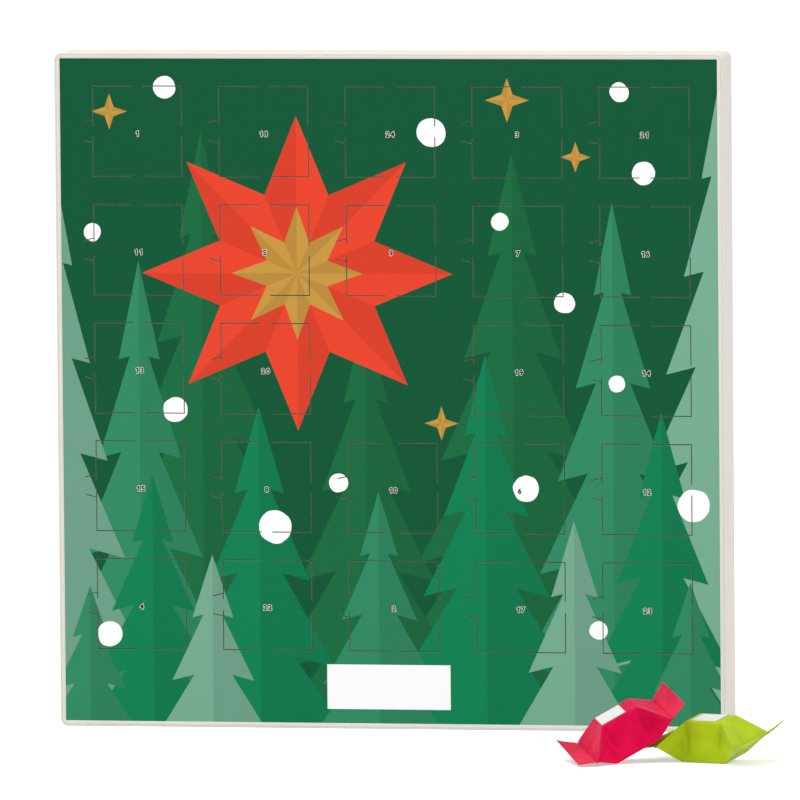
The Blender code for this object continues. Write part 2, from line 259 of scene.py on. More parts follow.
class Nodes:
    """Adds nodes to a material's tree."""

    def __init__(self, name):
        """Starts a material whose tree holds only a shader and its output."""
        self.material = bpy.data.materials.new(name)
        self.material.use_nodes = True
        self.tree = self.material.node_tree
        self.shader = self.tree.nodes["Principled BSDF"]
        place = self.tree.nodes.new("ShaderNodeTexCoord")
        self.place = place.outputs["Object"]

    def add(self, kind, output, inputs, **settings):
        """A node with its inputs set or linked. Returns one of its outputs."""
        made = self.tree.nodes.new(kind)
        for key, value in settings.items():
            setattr(made, key, value)
        for key, value in inputs.items():
            self.feed(made.inputs[key], value)
        return made.outputs[output]

    def feed(self, socket, value):
        """Links an output to a socket, or sets the socket's value."""
        if isinstance(value, bpy.types.NodeSocket):
            self.tree.links.new(value, socket)
        else:
            socket.default_value = value

    def maths(self, operation, *values):
        """A sum of one to three values."""
        return self.add("ShaderNodeMath", 0, dict(enumerate(values)), operation=operation)

    def noise(self, lumps, detail, place=None):
        """Noise of 0 to 1, with so many lumps to the metre."""
        inputs = {"Vector": place or self.place, "Scale": lumps, "Detail": detail}
        return self.add("ShaderNodeTexNoise", "Fac", inputs)

    def stretched(self, scale):
        """The object's coordinates, scaled by axis."""
        return self.add("ShaderNodeMapping", 0, {"Vector": self.place, "Scale": scale})

    def between(self, value, low, high, new_low, new_high):
        """A value taken from one range to another, and held there."""
        inputs = {
            "Value": value, "From Min": low, "From Max": high, "To Min": new_low,
            "To Max": new_high,
        }
        return self.add("ShaderNodeMapRange", 0, inputs)

    def spread(self, noise, low, high):
        """Noise whose usual values run from low to high."""
        return self.between(noise, *USUAL_NOISE, low, high)

    def blend(self, factor, first, second):
        """First where the factor is 0, second where it is 1."""
        colours = [
            (*value, 1.0) if not isinstance(value, bpy.types.NodeSocket) else value
            for value in (first, second)
        ]
        inputs = {MIX_FACTOR: factor, MIX_FIRST: colours[0], MIX_SECOND: colours[1]}
        return self.add("ShaderNodeMix", MIX_RESULT, inputs, data_type="RGBA")

    def finish(self, colour, roughness, height=None, bump=0.0, reach=0.0, **values):
        """Links the colour, the roughness and any bump, and sets the other values."""
        self.feed(self.shader.inputs["Base Color"], colour)
        self.feed(self.shader.inputs["Roughness"], roughness)
        for key, value in values.items():
            self.shader.inputs[SHADER_INPUTS[key]].default_value = value
        if height is not None:
            inputs = {"Height": height, "Strength": bump, "Distance": reach}
            normal = self.add("ShaderNodeBump", "Normal", inputs)
            self.feed(self.shader.inputs["Normal"], normal)
        return self.material


def darker(colour, share=0.84):
    """A deeper tone of a colour."""
    return tuple(part * share for part in colour)


def paler(colour, share):
    """A colour moved towards white."""
    return tuple(part + (1.0 - part) * share for part in colour)


def fibre_material(name, colour, speck, roughness, bump):
    """Paper board or moulded fibre: a soft mottle, fine fibres and a dull surface."""
    grain_share, fibre_share, mottle_share, unevenness = 0.6, 0.4, 0.14, 0.06
    nodes = Nodes(name)
    mottle = nodes.noise(lumps=60.0, detail=4.0)
    grain = nodes.noise(lumps=1100.0, detail=4.0)
    upright = nodes.stretched((700.0, 700.0, 1300.0))
    fibres = nodes.noise(lumps=1.0, detail=3.0, place=upright)
    fibres = nodes.maths("MULTIPLY", fibres, fibre_share)
    mixed = nodes.maths("MULTIPLY_ADD", grain, grain_share, fibres)
    specks = nodes.between(mixed, low=0.42, high=0.75, new_low=0.0, new_high=0.3)
    clouds = nodes.spread(mottle, 0.0, 1.0)
    amount = nodes.maths("MULTIPLY_ADD", clouds, mottle_share, specks)
    surface = nodes.spread(grain, roughness - unevenness, roughness + unevenness)
    shade = nodes.blend(amount, colour, speck)
    return nodes.finish(
        shade, surface, height=mixed, bump=bump, reach=0.00008, specular_ior_level=0.3
    )


def film_material(name, colour):
    """Printed plastic film: clear colour, paler at a slant, a soft shine and fine crinkles."""
    gain, lift = 1.05, 0.004
    nodes = Nodes(name)
    crinkle = nodes.noise(lumps=240.0, detail=2.0)
    cloud = nodes.noise(lumps=90.0, detail=2.0)
    deep = darker(colour, share=0.86)
    lit = tuple(min(1.0, part * gain + lift) for part in colour)
    shade = nodes.blend(nodes.spread(cloud, 0.0, 1.0), deep, lit)
    surface = nodes.spread(crinkle, 0.36, 0.44)
    gleam = (*paler(colour, share=0.3), 1.0)
    return nodes.finish(
        shade, surface, height=crinkle, bump=0.2, reach=0.0003, specular_ior_level=0.03,
        sheen_weight=0.7, sheen_roughness=0.35, sheen_tint=gleam,
    )


def smooth_material(name, colour, roughness, **values):
    """A printed label, foil or ink: almost even, with a faint mottle."""
    unevenness = 0.04
    nodes = Nodes(name)
    mottle = nodes.noise(lumps=600.0, detail=3.0)
    shade = nodes.blend(nodes.spread(mottle, 0.0, 1.0), darker(colour, share=0.95), colour)
    surface = nodes.spread(mottle, roughness - unevenness, roughness + unevenness)
    return nodes.finish(shade, surface, height=mottle, bump=0.05, reach=0.00005, **values)


# The print


# Firs: middle, height, width, tiers and tone, from the farthest to the nearest
FIRS = (
    (-0.094, 0.296, 0.136, 6, 0), (0.062, 0.286, 0.146, 6, 0), (-0.012, 0.206, 0.112, 5, 0),
    (0.112, 0.262, 0.112, 6, 2), (-0.126, 0.232, 0.104, 5, 2), (0.166, 0.322, 0.128, 7, 3),
    (-0.168, 0.278, 0.102, 6, 3), (0.048, 0.186, 0.106, 5, 1), (-0.066, 0.160, 0.100, 4, 1),
    (0.136, 0.158, 0.092, 4, 1), (-0.006, 0.118, 0.076, 4, 2), (-0.120, 0.126, 0.084, 4, 1),
    (0.092, 0.104, 0.070, 3, 3), (-0.090, 0.086, 0.062, 3, 3), (0.150, 0.074, 0.056, 3, 2),
    (-0.152, 0.070, 0.054, 3, 2),
)
# Stars: middle, height above the base, radius, waist, points and tone
STARS = (
    (-0.046, 0.226, 0.078, 0.042, 8, "red"), (-0.046, 0.226, 0.033, 0.0165, 8, "ochre"),
    (0.060, 0.312, 0.011, 0.004, 4, "ochre"), (0.094, 0.284, 0.0075, 0.0028, 4, "ochre"),
    (-0.140, 0.306, 0.009, 0.0032, 4, "ochre"), (0.026, 0.152, 0.0085, 0.003, 4, "ochre"),
)
# Snow: middle, height above the base and radius
SNOW = (
    (-0.112, 0.318, 0.0056), (0.022, 0.296, 0.0072), (0.116, 0.316, 0.0048),
    (0.056, 0.252, 0.0042), (0.128, 0.276, 0.0058), (-0.149, 0.246, 0.0044),
    (0.088, 0.212, 0.0052), (-0.108, 0.158, 0.0062), (-0.026, 0.122, 0.0048),
    (0.114, 0.172, 0.0042), (-0.058, 0.100, 0.0082), (0.068, 0.120, 0.0064),
    (0.152, 0.112, 0.0080), (-0.142, 0.046, 0.0062), (0.104, 0.050, 0.0046),
)
SNOW_WOBBLE = 0.0016  # how unevenly the snow is round
PLATE_MIDDLE = (-0.0015, 0.0208)
PLATE_SIZE = (0.0620, 0.0222)
DROOP = 0.26  # how much a fir's tiers hang at their ends
NOTCH = 0.46  # a tier's width at its top, to that of the tier above


def add_fir(nodes, ground, x, z, middle, height, width, tiers, colour):
    """Paints a fir of stacked tiers over the ground, in two tones."""
    beside = nodes.maths("SUBTRACT", x, middle)
    reach = nodes.maths("ABSOLUTE", beside)
    climb = nodes.maths("MULTIPLY_ADD", reach, DROOP, z)
    step = nodes.maths("MULTIPLY", climb, tiers / height)
    tier = nodes.maths("FLOOR", step)
    part = nodes.maths("FRACT", step)
    foot = nodes.maths("MULTIPLY_ADD", tier, -width / 2 / tiers, width / 2)
    neck = nodes.maths("MULTIPLY_ADD", foot, NOTCH, -NOTCH * width / 2 / tiers)
    narrowing = nodes.maths("SUBTRACT", neck, foot)
    edge = nodes.maths("MULTIPLY_ADD", narrowing, part, foot)
    inside = nodes.maths("LESS_THAN", reach, edge)
    side = nodes.maths("GREATER_THAN", beside, 0.0)
    return nodes.blend(inside, ground, nodes.blend(side, colour, darker(colour)))


def add_star(nodes, ground, x, z, middle, height, radius, waist, points, colour):
    """Paints a pointed star over the ground, its facets in two tones."""
    half = math.pi / points
    beside = nodes.maths("SUBTRACT", x, middle)
    above = nodes.maths("SUBTRACT", z, height)
    turn = nodes.maths("ADD", nodes.maths("ARCTAN2", above, beside), math.pi * 2 + QUARTER_TURN)
    fold = nodes.maths("PINGPONG", turn, half)
    across = nodes.maths("MULTIPLY", beside, beside)
    reach = nodes.maths("SQRT", nodes.maths("MULTIPLY_ADD", above, above, across))
    along = nodes.maths("MULTIPLY", nodes.maths("COSINE", fold), waist * math.sin(half))
    aside = nodes.maths("SINE", fold)
    slant = nodes.maths("MULTIPLY_ADD", aside, radius - waist * math.cos(half), along)
    edge = nodes.maths("MULTIPLY", slant, reach)
    inside = nodes.maths("LESS_THAN", edge, radius * waist * math.sin(half))
    facet = nodes.maths("LESS_THAN", nodes.maths("FLOORED_MODULO", turn, 2 * half), half)
    return nodes.blend(inside, ground, nodes.blend(facet, colour, darker(colour)))


def snow_mask(nodes, x, z):
    """1 on the snow, whose dots are a little uneven."""
    inputs = {"Vector": nodes.place, "Scale": 130.0, "Detail": 1.0}
    wobble = nodes.add("ShaderNodeTexNoise", "Color", inputs)
    flat = nodes.add("ShaderNodeCombineXYZ", 0, {"X": x, "Z": z})
    inputs = {0: wobble, 1: (SNOW_WOBBLE, 0.0, SNOW_WOBBLE), 2: flat}
    flat = nodes.add("ShaderNodeVectorMath", 0, inputs, operation="MULTIPLY_ADD")
    shift = SNOW_WOBBLE / 2
    nearest = 1.0
    for middle, height, radius in SNOW:
        inputs = {0: flat, 1: (middle + shift, 0.0, height + shift)}
        away = nodes.add("ShaderNodeVectorMath", "Value", inputs, operation="DISTANCE")
        nearest = nodes.maths("MINIMUM", nodes.maths("SUBTRACT", away, radius), nearest)
    return nodes.maths("LESS_THAN", nearest, 0.0)


def print_material(look):
    """The printed face of the card and the doors: one picture over all of them, of firs in four
    greens, a large star, small stars, snow and a blank plate."""
    nodes = Nodes(CARD_FINISHES[PRINT])
    split = nodes.add("ShaderNodeSeparateXYZ", "X", {0: nodes.place}).node
    x, z = split.outputs["X"], split.outputs["Z"]
    tones = look.deep_green, look.bright_green, look.soft_green, look.sage
    greens = [tuple(tone) for tone in tones]
    picture = tuple(look.ground)
    for middle, height, width, tiers, tone in FIRS:
        picture = add_fir(nodes, picture, x, z, middle, height, width, tiers, greens[tone])
    for middle, height, radius, waist, points, tone in STARS:
        colour = tuple(getattr(look, tone))
        picture = add_star(nodes, picture, x, z, middle, height, radius, waist, points, colour)
    white = tuple(look.snow)
    picture = nodes.blend(snow_mask(nodes, x, z), picture, white)
    sides = [
        nodes.maths("COMPARE", place, middle, size / 2)
        for place, middle, size in zip((x, z), PLATE_MIDDLE, PLATE_SIZE)
    ]
    picture = nodes.blend(nodes.maths("MULTIPLY", *sides), picture, white)
    inside = [
        nodes.maths("COMPARE", place, middle, (high - low) / 2 - look.bare_edge)
        for place, middle, low, high in (
            (x, card_middle.x, card_low.x, card_high.x),
            (z, card_middle.z, card_low.z, card_high.z),
        )
    ]
    picture = nodes.blend(nodes.maths("MULTIPLY", *inside), white, picture)
    grain = nodes.noise(lumps=2600.0, detail=2.0)
    mottle = nodes.spread(nodes.noise(lumps=420.0, detail=4.0), 0.0, 0.003)
    picture = nodes.blend(mottle, picture, white)
    surface = nodes.spread(grain, 0.46, 0.54)
    return nodes.finish(
        picture, surface, height=grain, bump=0.02, reach=0.00002, specular_ior_level=0.05
    )


# Shaping


def flat_face(shape, left, right, low, high, y):
    """A rectangle that faces the front."""
    corners = [shape.verts.new(point) for point in (
        (left, y, low), (right, y, low), (right, y, high), (left, y, high))]
    return shape.faces.new(corners)


def round_corners(shape, radius, segments):
    """Rounds the corners of a flat outline."""
    bmesh.ops.bevel(
        shape, geom=shape.verts[:], offset=radius, offset_type="OFFSET", segments=segments,
        profile=0.5, affect="VERTICES", material=-1,
    )


def round_edges(shape, edges, radius, segments=1):
    """Bevels edges and returns the new faces."""
    made = bmesh.ops.bevel(
        shape, geom=edges, offset=radius, offset_type="OFFSET", segments=segments, profile=0.5,
        affect="EDGES", material=-1,
    )
    return made["faces"]


def move_new(shape, made, offset):
    """Moves the new vertices of an extrusion."""
    moved = [item for item in made if isinstance(item, bmesh.types.BMVert)]
    bmesh.ops.translate(shape, verts=moved, vec=offset)


def push(shape, faces, offset):
    """Extrudes faces by an offset and returns the moved ones. A sheet keeps its first side, as
    the back of what it becomes, and a face of a solid leaves nothing behind."""
    joined = any(len(edge.link_faces) > 1 for edge in faces[0].edges) and len(faces) == 1
    made = bmesh.ops.extrude_face_region(shape, geom=faces)["geom"]
    move_new(shape, made, offset)
    if joined:
        bmesh.ops.delete(shape, geom=faces, context="FACES_ONLY")
    return [item for item in made if isinstance(item, bmesh.types.BMFace)]


def cut_across(shape, places, axis):
    """Cuts all faces along planes across an axis."""
    for place in sorted(places):
        normal = Vector([float(number == axis) for number in range(3)])
        everything = shape.verts[:] + shape.edges[:] + shape.faces[:]
        bmesh.ops.bisect_plane(
            shape, geom=everything, dist=TINY, plane_co=normal * place, plane_no=normal
        )


def middle_of(edge):
    """The middle of an edge."""
    return (edge.verts[0].co + edge.verts[1].co) / 2


def front_corners(shape, y):
    """The edges between a face to the front at y and a wall behind it."""
    found = []
    for edge in shape.edges:
        if len(edge.link_faces) == 2 and all(abs(v.co.y - y) < TINY for v in edge.verts):
            tilts = sorted(face.normal.y for face in edge.link_faces)
            if tilts[0] < -ALONG and abs(tilts[1]) < ACROSS:
                found.append(edge)
    return found


def to_mesh(shape, name):
    """The mesh of a finished shape."""
    mesh = bpy.data.meshes.new(name)
    shape.to_mesh(mesh)
    shape.free()
    return mesh


def add_object(name, data):
    """A new object in the scene."""
    made = bpy.data.objects.new(name, data)
    bpy.context.scene.collection.objects.link(made)
    return made


def make_piece(name, shape, materials, body, node, sharp=SHARP_ANGLE):
    """The object of a finished shape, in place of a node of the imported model."""
    mesh = to_mesh(shape, name)
    for finish in materials:
        mesh.materials.append(finish)
    mesh.shade_smooth()
    mesh.set_sharp_from_angle(angle=sharp)
    piece = add_object(name, mesh)
    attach(piece, body)
    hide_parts(node)


# Tray


def make_tray(look):
    """The moulded tray: a grooved rim, a ledge for the card and a deep cavity."""
    shape = bmesh.new()
    flat_face(shape, tray_low.x, tray_high.x, tray_low.z, tray_high.z, tray_high.y)
    round_corners(shape, look.corner_radius, segments=10)
    depth = tray_high.y - tray_low.y
    front = push(shape, shape.faces[:], (0.0, -depth, 0.0))
    bmesh.ops.recalc_face_normals(shape, faces=shape.faces)
    rest = look.rim_width - look.groove_place - look.groove_width
    half_groove = look.groove_width / 2
    steps = (
        (look.groove_place, 0.0), (half_groove, -look.groove_depth),
        (half_groove, look.groove_depth), (rest, 0.0),
    )
    for thickness, rise in steps:
        bmesh.ops.inset_region(
            shape, faces=front, use_boundary=True, use_even_offset=True,
            thickness=thickness, depth=rise,
        )
    ledge = push(shape, front, (0.0, look.ledge_depth, 0.0))
    bmesh.ops.inset_region(
        shape, faces=ledge, use_boundary=True, use_even_offset=True,
        thickness=look.ledge_width, depth=0.0,
    )
    push(shape, ledge, (0.0, depth - look.ledge_depth - look.back_wall, 0.0))
    bmesh.ops.recalc_face_normals(shape, faces=shape.faces)
    middle = (tray_low + tray_high) / 2
    opening = (tray_high.x - tray_low.x) / 2 - look.rim_width + TINY
    outer, lip = [], []
    for edge in front_corners(shape, tray_low.y):
        away = middle_of(edge) - middle
        far = max(abs(away.x), abs(away.z))
        (outer if far > opening else lip).append(edge)
    for edge in shape.edges:
        if all(abs(v.co.y - tray_high.y) < TINY for v in edge.verts):
            outer.append(edge)
    round_edges(shape, outer, look.edge_radius, segments=4)
    lip = [edge for edge in lip if edge.is_valid]
    round_edges(shape, lip, look.lip_radius, segments=2)
    finish = fibre_material("moulded_fibre", look.colour, look.speck, roughness=0.6, bump=0.3)
    make_piece("moulded_tray", shape, [finish], "calendar", "tray")


# Card and doors


FIGURE_STEPS = 4  # from one point of a figure's outline to the next
INK_THICKNESS = 0.0001
OUTLINE_THICKNESS = 0.00004
# The outline of the figure one, in parts of its height
FIGURE_ONE = (
    (0.20, 0.0), (0.36, 0.0), (0.36, 1.0), (0.25, 1.0), (0.0, 0.83), (0.0, 0.68), (0.20, 0.79),
)


def door_place(number):
    """The fold, the left and right edges and the middle height of a door."""
    low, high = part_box(f"door_{number:02d}")
    fold = low.x - CUT_WIDTH
    return fold, fold + TAB_LENGTH, high.x, (low.z + high.z) / 2


def colour_board(shape, y):
    """Bare board on every face but the printed front."""
    for face in shape.faces:
        printed = face.normal.y < -ALONG and abs(face.calc_center_median().y - y) < TINY
        face.material_index = PRINT if printed else BOARD


def cut_doors(shape, places, half_height, half_nib):
    """Cuts the holes of the doors out of the card's face."""
    columns, rows = set(), set()
    for fold, left, right, middle in places:
        centre = (left + right) / 2
        columns.update(
            (fold, left - CUT_WIDTH, centre - half_nib, centre + half_nib, right + CUT_WIDTH)
        )
        for side in (-1, 1):
            rows.add(middle + side * (half_height + CUT_WIDTH))
            rows.add(middle + side * (TAB_BASE / 2 + CUT_WIDTH))
            rows.add(middle + side * half_nib)
    for axis, cuts in ((0, columns), (2, rows)):
        cut_across(shape, {round(place, DIGITS) for place in cuts}, axis)
    holes = []
    for face in shape.faces:
        spot = face.calc_center_median()
        for fold, left, right, middle in places:
            away = abs(spot.z - middle)
            in_leaf = left - CUT_WIDTH < spot.x < right + CUT_WIDTH and away < half_height
            in_tab = fold < spot.x < left and away < TAB_BASE / 2 + CUT_WIDTH
            if in_leaf or in_tab:
                holes.append(face)
                break
    bmesh.ops.delete(shape, geom=holes, context="FACES")
    for vert in shape.verts:
        for fold, _, _, middle in places:
            away = vert.co.z - middle
            at_base = abs(abs(away) - TAB_BASE / 2 - CUT_WIDTH) < 2 * TINY
            if at_base and abs(vert.co.x - fold) < 2 * TINY:
                vert.co.z = middle + math.copysign(TAB_TIP / 2 + CUT_WIDTH, away)


def is_held(spot, places, half_height, half_nib):
    """Whether the card's edge at a spot is its own side, a fold or a nib, and no die cut."""
    held = True
    for fold, left, right, middle in places:
        away = abs(spot.z - middle)
        beside = not fold - TINY < spot.x < right + 2 * CUT_WIDTH
        if beside or away > half_height + 2 * CUT_WIDTH:
            continue
        at_fold = abs(spot.x - fold) < 2 * TINY
        at_right = spot.x > right and away < half_nib
        at_middle = abs(spot.x - (left + right) / 2) < half_nib
        held = at_fold or at_right or (at_middle and away > half_height)
    return held


def crush_edges(shape, edges, width):
    """Gives die-cut edges their crushed print."""
    for face in round_edges(shape, edges, width):
        face.material_index = CRUSHED


def make_card(look, finishes):
    """The printed card, with a hole for each door."""
    shape = bmesh.new()
    flat_face(shape, card_low.x, card_high.x, card_low.z, card_high.z, card_low.y)
    round_corners(shape, look.corner_radius, segments=5)
    door_low, door_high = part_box("door_01")
    layout = (
        [door_place(number) for number in NUMBERS], (door_high.z - door_low.z) / 2,
        look.nib_length / 2,
    )
    cut_doors(shape, *layout)
    push(shape, shape.faces[:], (0.0, card_high.y - card_low.y, 0.0))
    bmesh.ops.recalc_face_normals(shape, faces=shape.faces)
    colour_board(shape, card_low.y)
    cuts = [
        edge for edge in front_corners(shape, card_low.y)
        if not is_held(middle_of(edge), *layout)
    ]
    crush_edges(shape, cuts, look.worn_edge)
    make_piece(
        "front_panel", shape, finishes[:CRUSHED + 1], "calendar", "front_card"
    )


def door_shape(look, width, height, thickness):
    """A door leaf with its nibs, its neck and its tab, the fold at X = 0."""
    shape = bmesh.new()
    left, right = TAB_LENGTH, TAB_LENGTH + width
    centre = (left + right) / 2
    half_nib, half_neck = look.nib_length / 2, TAB_NECK / 2
    flat_face(shape, left, right, -height / 2, height / 2, 0.0)
    cut_across(shape, (centre - half_nib, centre + half_nib), 0)
    cut_across(shape, (-half_neck, -half_nib, half_nib, half_neck), 2)
    reach = CUT_WIDTH - look.nib_gap
    grown = []
    for edge in shape.edges:
        spot = middle_of(edge)
        if len(edge.link_faces) == 1:
            if abs(spot.z) < half_nib and spot.x > right - TINY:
                grown.append((edge, (reach, 0.0, 0.0)))
            elif abs(spot.z) < half_neck and spot.x < left + TINY:
                grown.append((edge, (-CUT_WIDTH, 0.0, 0.0)))
            elif abs(spot.x - centre) < half_nib and abs(spot.z) > height / 2 - TINY:
                grown.append((edge, (0.0, 0.0, math.copysign(reach, spot.z))))
    for edge, offset in grown:
        made = bmesh.ops.extrude_edge_only(shape, edges=[edge])["geom"]
        move_new(shape, made, offset)
    tip = look.nib_gap
    flat_face(shape, tip, left - CUT_WIDTH, -TAB_BASE / 2, TAB_BASE / 2, 0.0)
    cut_across(shape, (-half_neck, -half_nib, half_nib, half_neck), 2)
    for vert in shape.verts:
        if abs(vert.co.x - tip) < TINY and abs(vert.co.z) > half_neck + TINY:
            vert.co.z = math.copysign(TAB_TIP / 2, vert.co.z)
    bmesh.ops.remove_doubles(shape, verts=shape.verts, dist=2 * TINY)
    push(shape, shape.faces[:], (0.0, thickness, 0.0))
    bmesh.ops.recalc_face_normals(shape, faces=shape.faces)
    colour_board(shape, 0.0)
    cuts = []
    for edge in front_corners(shape, 0.0):
        spot = middle_of(edge)
        in_nib = spot.x > right + TINY or abs(spot.z) > height / 2 + TINY
        in_neck = abs(spot.z) < half_neck + TINY and spot.x < left + TINY
        if not in_nib and not in_neck and spot.x > tip + TINY:
            cuts.append(edge)
    crush_edges(shape, cuts, look.worn_edge)
    return to_mesh(shape, "door_leaf")


def figure_curve(figure, height):
    """The outline of one figure. The one is drawn with its flag, which the font leaves out."""
    if figure != "1":
        curve = bpy.data.curves.new("figure", "FONT")
        curve.body = figure
        curve.resolution_u = FIGURE_STEPS
        return curve
    curve = bpy.data.curves.new("figure", "CURVE")
    curve.dimensions = "2D"
    curve.fill_mode = "BOTH"
    line = curve.splines.new("POLY")
    line.points.add(len(FIGURE_ONE) - 1)
    for point, (across, up) in zip(line.points, FIGURE_ONE):
        point.co = (across * height, up * height, 0.0, 1.0)
    line.use_cyclic_u = True
    return curve


def figure_mesh(look, figure, outlined):
    """A figure as a thin closed solid that faces up, centred over the origin, or a flat closed
    band along its outline."""
    height = look.number_height
    curve = figure_curve(figure, height)
    guide = add_object("figure", curve)
    bpy.context.view_layer.update()
    if curve.rna_type.identifier == "TextCurve":
        curve.size *= height / guide.dimensions.y
        bpy.context.view_layer.update()
    low, width = Vector(guide.bound_box[0]), guide.dimensions.x
    curve.offset = look.number_weight
    flat = 1.0
    if outlined:
        curve.fill_mode = "NONE"
        curve.bevel_depth = look.number_halo
        curve.bevel_resolution = 0
        flat = OUTLINE_THICKNESS / 2 / look.number_halo
    else:
        curve.extrude = INK_THICKNESS / 2
    depsgraph = bpy.context.evaluated_depsgraph_get()
    mesh = bpy.data.meshes.new_from_object(guide.evaluated_get(depsgraph))
    bpy.data.objects.remove(guide)
    bpy.data.curves.remove(curve)
    centred = Matrix.Translation((-low.x - width / 2, -low.y - height / 2, 0.0))
    mesh.transform(Matrix.Diagonal((1.0, 1.0, flat, 1.0)) @ centred)
    return mesh


def number_mesh(look, text, outlined):
    """A number as thin closed figures that face the front, about the origin."""
    shape = bmesh.new()
    for place, figure in enumerate(text):
        mesh = figure_mesh(look, figure, outlined)
        across = (place - (len(text) - 1) / 2) * look.figure_pitch
        mesh.transform(Matrix.Translation((across, 0.0, 0.0)))
        shape.from_mesh(mesh)
        bpy.data.meshes.remove(mesh)
    bmesh.ops.remove_doubles(shape, verts=shape.verts, dist=TINY)
    bmesh.ops.recalc_face_normals(shape, faces=shape.faces)
    turn = Matrix.Rotation(QUARTER_TURN, 4, "X")
    bmesh.ops.transform(shape, matrix=turn, verts=shape.verts)
    return to_mesh(shape, "number")


def make_doors(look, finishes):
    """Each door: the shared leaf, moved to its place, with its own number."""
    low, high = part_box("door_01")
    width = high.x - low.x - TAB_LENGTH + CUT_WIDTH
    leaf = door_shape(look, width, high.z - low.z, high.y - low.y)
    for number in NUMBERS:
        fold, left, right, middle = door_place(number)
        shape = bmesh.new()
        shape.from_mesh(leaf)
        place = Matrix.Translation((fold, low.y, middle))
        bmesh.ops.transform(shape, matrix=place, verts=shape.verts)
        spot = Vector(((left + right) / 2, low.y, middle - look.number_drop))
        for index in (WHITE, BLACK):
            mesh = number_mesh(look, str(number), outlined=index == WHITE)
            count, faces = len(shape.verts), len(shape.faces)
            shape.from_mesh(mesh)
            bpy.data.meshes.remove(mesh)
            shape.verts.ensure_lookup_table()
            shape.faces.ensure_lookup_table()
            bmesh.ops.translate(shape, verts=shape.verts[count:], vec=spot)
            for face in shape.faces[faces:]:
                face.material_index = index
        name = f"door_{number:02d}"
        make_piece(f"door_leaf_{number:02d}", shape, finishes, name, name)
    bpy.data.meshes.remove(leaf)


def card_finishes(look):
    """The print, the bare board, the crushed edge and the two inks, made once."""
    found = [bpy.data.materials.get(name) for name in CARD_FINISHES]
    if all(found):
        return found
    _, board_name, cut_name, black_name, white_name = CARD_FINISHES
    board, cut = tuple(look.board), tuple(look.cut)
    dull = {"roughness": 0.75, "bump": 0.2}
    return [
        print_material(look),
        fibre_material(board_name, board, darker(board, share=0.8), **dull),
        fibre_material(cut_name, cut, darker(cut, share=0.7), **dull),
        smooth_material(black_name, look.ink, roughness=0.5, specular_ior_level=0.03),
        smooth_material(white_name, look.snow, roughness=0.5, specular_ior_level=0.2),
    ]


# Partition


def finish_partition(look):
    """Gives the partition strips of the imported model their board."""
    board = fibre_material(
        "partition_board", look.board, look.fibre, roughness=0.82, bump=0.25
    )
    for name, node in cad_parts.items():
        if name.startswith("partition_"):
            node.data.materials.clear()
            node.data.materials.append(board)


# Chocolates


LOOSE_GRID, PACKED_GRID = (120, 14), (48, 10)  # faces along a chocolate and up it
PACKED_FACES_PER_RIB = 2
GRID_BIAS = 0.8  # how much closer together the faces are at the base and the top
LABEL_MIDDLE = -0.0001
LABEL_GRID = (18, 14)
LABEL_SINK = 0.0001  # how far the label and its border go into the film
LABEL_RISE, BORDER_RISE = 0.00006, 0.00003

# Places along the film, from the middle
BLOCK_END, SEAL, TAIL_END = 1.0, 2.0, 3.0
# From here along the film, the tails' rib crests get a painted highlight
RIB_HIGHLIGHT_START = 2.06
AT_SIDE = 0.999  # past which a coordinate across or upright is on the side

# The film is evened out along its length, with these shares of the points beside, whose reach
# is shorter from a place between the block and a seal
SHARES = (1, 4, 6, 4, 1)
BLOCK_REACH, TAIL_REACH, REACH_CHANGE = 0.055, 0.022, 1.5
LEAST_RADIUS = 1e-5  # a fold of a smaller radius is left sharp
LEAST_AWAY = 1e-12  # keeps a division clear of zero

# How soon the film's forms grow along it, as powers
RADIUS_POWER, GUSSET_POWER, GUSSET_TAPER = 1.5, 0.75, 1.2
RISE_POWER, TWIST_POWER, WAVE_POWER = 1.1, 1.4, 1.3
TOOTH_POWER = 6

# The film's finer forms: heights, places and widths, and where each grows and fades
WAVE_TURN = 3.3  # radians from a tail's middle to its side
SAG = 0.0009
FAN_HEIGHT, FAN_START, FAN_GROWTH, FAN_FADE = 0.00016, 0.25, 0.7, 0.25
DENT_DEPTH, DENT_TURNS = 0.00022, (430.0, 90.0, 510.0)  # radians to the metre, by axis
RIB_GROWTH, RIB_END, RIB_FADE = 0.12, 0.93, 0.07
SEAM_HEIGHT, SEAM_PLACE, SEAM_WIDTH, SEAM_GROWTH = 0.00022, 0.0006, 0.0005, 0.1
DIP_PLACE, DIP_WIDTH = 2.02, 0.055
# Creases in the sides: the upper end and the lower end along and above the base, the depth, and
# -1 for the front or 1 for the back
CREASES = (
    (-0.0098, 0.0172, -0.0078, 0.0034, 0.0013, -1), (0.0094, 0.0176, 0.0092, 0.0036, 0.0015, -1),
    (-0.0100, 0.0160, -0.0060, 0.0078, 0.0011, 1), (0.0098, 0.0168, 0.0074, 0.0050, 0.0011, 1),
)
CREASE_WIDTH, CREASE_START, CREASE_END = 0.0010, 0.08, 1.2

# What differs from one wrapped chocolate to the next: the range that it is drawn from, in order
DRAWN = {
    "left_twist": (-0.0012, 0.0012), "right_twist": (-0.0012, 0.0012),
    "wave": (0.0002, 0.0006), "phase": (0.0, 6.0), "folds": (2.2, 3.4), "gusset": (0.8, 1.1),
    "label_shift": (-0.0022, 0.0006),
}
# The forms of the two in front
FRONT_FORMS = {
    LEANING: {
        "left_twist": 0.0016, "right_twist": 0.0008, "wave": 0.0003, "phase": 0.8,
        "folds": 2.6, "gusset": 1.0, "label_shift": -0.0028,
    },
    LYING: {
        "left_rise": PRESSED_TAIL_RISE, "left_twist": 0.0, "right_twist": 0.0016,
        "wave": 0.0002, "phase": 2.1, "folds": 2.3, "gusset": 1.0, "label_shift": -0.0008,
    },
}


